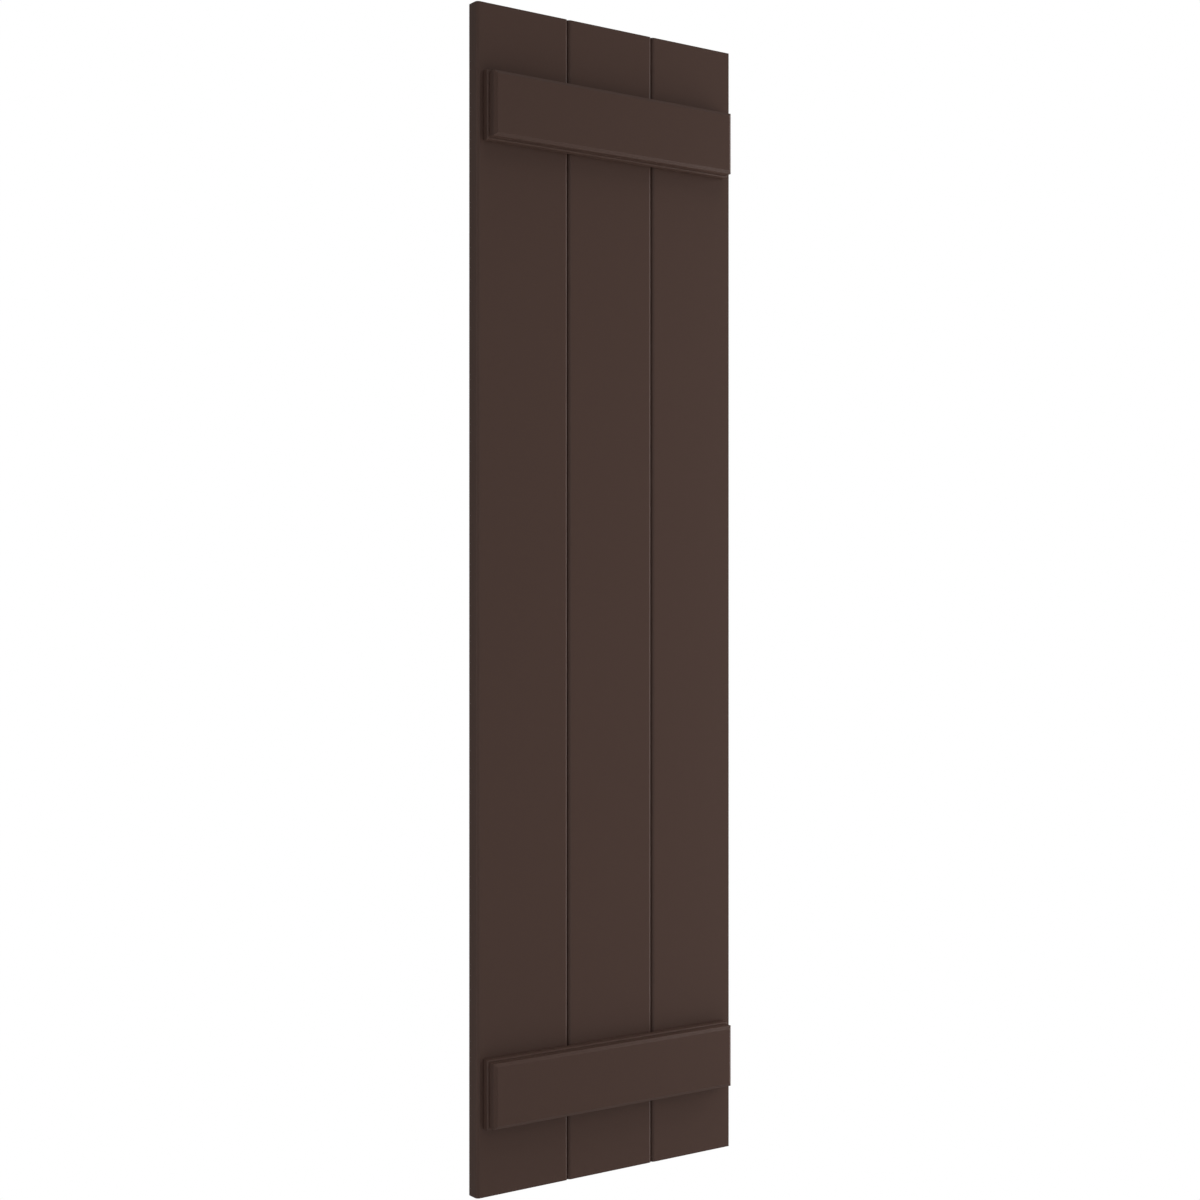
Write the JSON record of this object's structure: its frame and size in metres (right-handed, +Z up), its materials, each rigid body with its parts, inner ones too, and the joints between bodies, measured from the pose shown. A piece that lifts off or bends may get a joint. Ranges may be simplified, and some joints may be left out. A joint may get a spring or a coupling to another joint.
{
  "type": "board and batten shutter",
  "caption": "Exterior shutter panel of upright boards with round-edged joints, held by a moulded batten near each end, with a flat back to fix against a wall.",
  "frame": {"origin": "centre of the flat back face that lies against the wall", "axes": "+X to the right across the boards, +Y out of the back face into the wall, +Z up along the boards"},
  "size_m": [0.4102, 0.0422, 1.524],
  "materials": {
    "board_paint": "dark brown satin paint on cellular PVC boards",
    "batten_paint": "dark brown satin paint on cellular PVC battens"
  },
  "bodies": {
    "root": {"left_board": "board_paint", "middle_board": "board_paint", "right_board": "board_paint", "top_batten": "batten_paint", "bottom_batten": "batten_paint"}
  },
  "joints": []
}
